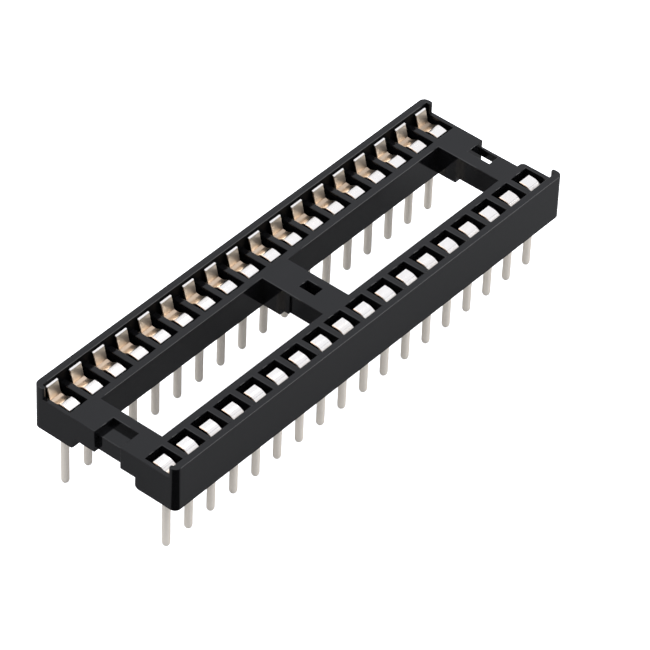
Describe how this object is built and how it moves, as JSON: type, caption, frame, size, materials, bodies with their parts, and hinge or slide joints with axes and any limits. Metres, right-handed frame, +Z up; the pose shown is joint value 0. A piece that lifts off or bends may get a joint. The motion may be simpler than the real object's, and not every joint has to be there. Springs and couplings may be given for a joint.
{
  "type": "ic socket",
  "caption": "Through-hole socket for a dual in-line chip: open-frame moulded housing with two rows of bent dual-leaf contacts and round solder tails.",
  "frame": {"origin": "on the board surface, in the middle of the grid of solder tails", "axes": "+X along the rows, away from the end with the polarity recess; +Y across the rows; +Z up out of the board; the front row is at -Y"},
  "size_m": [0.0458, 0.0142, 0.0097],
  "materials": {
    "housing_plastic": "satin charcoal moulded thermoplastic with a fine grain",
    "contact_tin": "satin tin plate on copper alloy"
  },
  "bodies": {
    "root": {"housing": "housing_plastic", "contact_front_01": "contact_tin", "contact_front_02": "contact_tin", "contact_front_03": "contact_tin", "contact_front_04": "contact_tin", "contact_front_05": "contact_tin", "contact_front_06": "contact_tin", "contact_front_07": "contact_tin", "contact_front_08": "contact_tin", "contact_front_09": "contact_tin", "contact_front_10": "contact_tin", "contact_front_11": "contact_tin", "contact_front_12": "contact_tin", "contact_front_13": "contact_tin", "contact_front_14": "contact_tin", "contact_front_15": "contact_tin", "contact_front_16": "contact_tin", "contact_front_17": "contact_tin", "contact_front_18": "contact_tin", "contact_back_01": "contact_tin", "contact_back_02": "contact_tin", "contact_back_03": "contact_tin", "contact_back_04": "contact_tin", "contact_back_05": "contact_tin", "contact_back_06": "contact_tin", "contact_back_07": "contact_tin", "contact_back_08": "contact_tin", "contact_back_09": "contact_tin", "contact_back_10": "contact_tin", "contact_back_11": "contact_tin", "contact_back_12": "contact_tin", "contact_back_13": "contact_tin", "contact_back_14": "contact_tin", "contact_back_15": "contact_tin", "contact_back_16": "contact_tin", "contact_back_17": "contact_tin", "contact_back_18": "contact_tin"}
  },
  "joints": []
}
